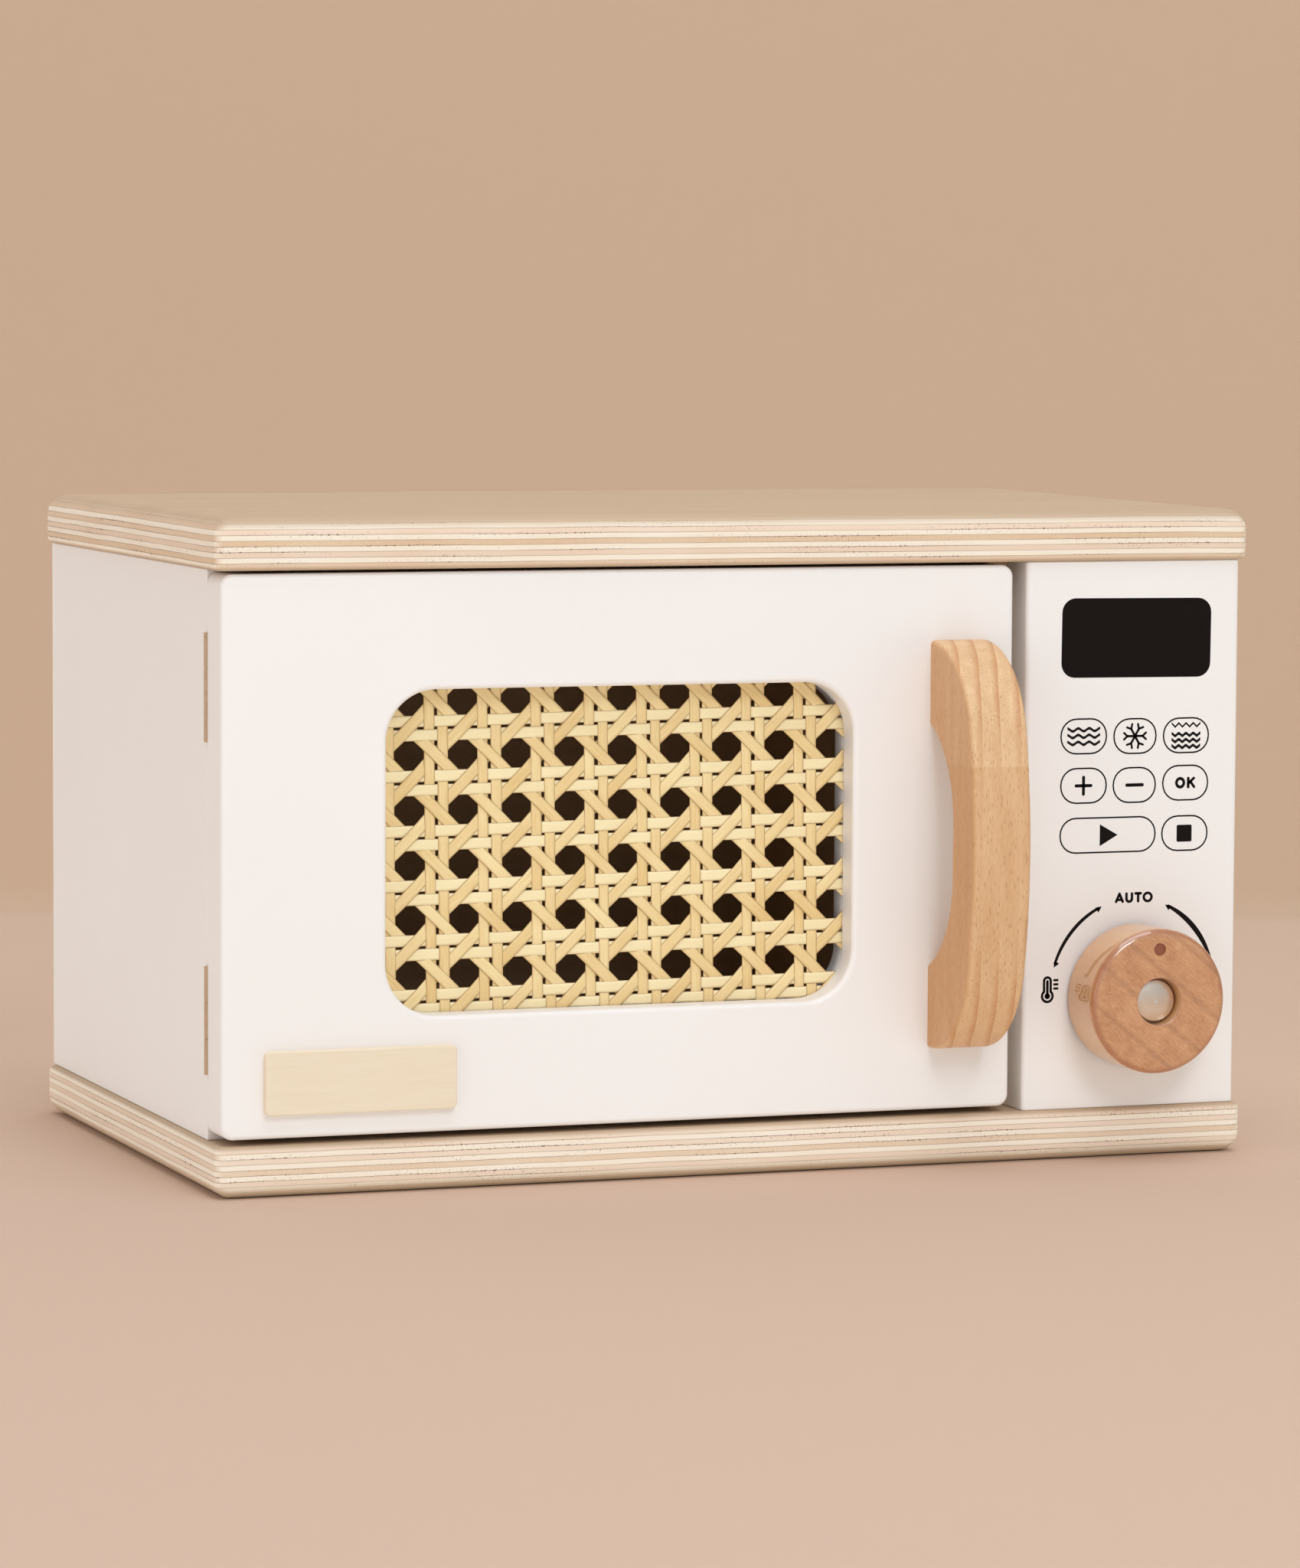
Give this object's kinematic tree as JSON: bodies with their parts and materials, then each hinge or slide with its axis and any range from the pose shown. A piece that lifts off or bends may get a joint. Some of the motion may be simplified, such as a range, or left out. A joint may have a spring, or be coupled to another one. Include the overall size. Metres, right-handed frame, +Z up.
{
  "type": "toy microwave",
  "caption": "Wooden toy microwave: plywood base and top, painted cabinet, hinged door with a cane webbing window and a bowed handle, control panel with a turning knob.",
  "frame": {"origin": "middle of the base board's underside", "axes": "+X along the front from the hinge side to the control panel, +Y from the door to the back, +Z up"},
  "size_m": [0.3184, 0.2255, 0.1927],
  "materials": {
    "birch_plywood": "clear lacquer",
    "painted_board": "satin white paint",
    "beech": "clear satin lacquer",
    "birch_plaque": "bare",
    "cane": "natural cane skin",
    "hinge_brass": "dull",
    "zinc_screw": "zinc plated",
    "bright_steel": "bright",
    "nickel_magnet": "nickel plated"
  },
  "bodies": {
    "cabinet": {"base_board": "birch_plywood", "top_board": "birch_plywood", "left_side_panel": "painted_board", "right_side_panel": "painted_board", "divider_panel": "painted_board", "back_panel": "painted_board", "control_panel": "painted_board", "base_dowels": "beech", "top_dowels": "beech", "back_panel_screws": "zinc_screw", "lower_hinge_cabinet_leaf": "hinge_brass", "upper_hinge_cabinet_leaf": "hinge_brass", "lower_hinge_pin": "hinge_brass", "upper_hinge_pin": "hinge_brass", "cabinet_leaf_screws": "zinc_screw", "cabinet_magnet": "nickel_magnet", "knob_bolt": "bright_steel", "knob_nut": "bright_steel", "bolt_washers": "bright_steel"},
    "door": {"door_panel": "painted_board", "cane_webbing": "cane", "cane_retainer_frame": "painted_board", "retainer_screws": "zinc_screw", "handle": "beech", "handle_screws": "zinc_screw", "plaque": "birch_plaque", "lower_hinge_door_leaf": "hinge_brass", "upper_hinge_door_leaf": "hinge_brass", "door_leaf_screws": "zinc_screw", "door_magnet": "nickel_magnet"},
    "knob": {"knob": "beech"}
  },
  "joints": [
    {"name": "door_hinge", "type": "hinge", "parent": "cabinet", "child": "door", "pos_m": [-0.1573, -0.0798, 0.0968], "axis": [0, 0, -1], "range_deg": [0, 180]},
    {"name": "knob_turn", "type": "hinge", "parent": "cabinet", "child": "knob", "pos_m": [0.1238, -0.1048, 0.0485], "axis": [0, -1, 0], "continuous": true}
  ]
}
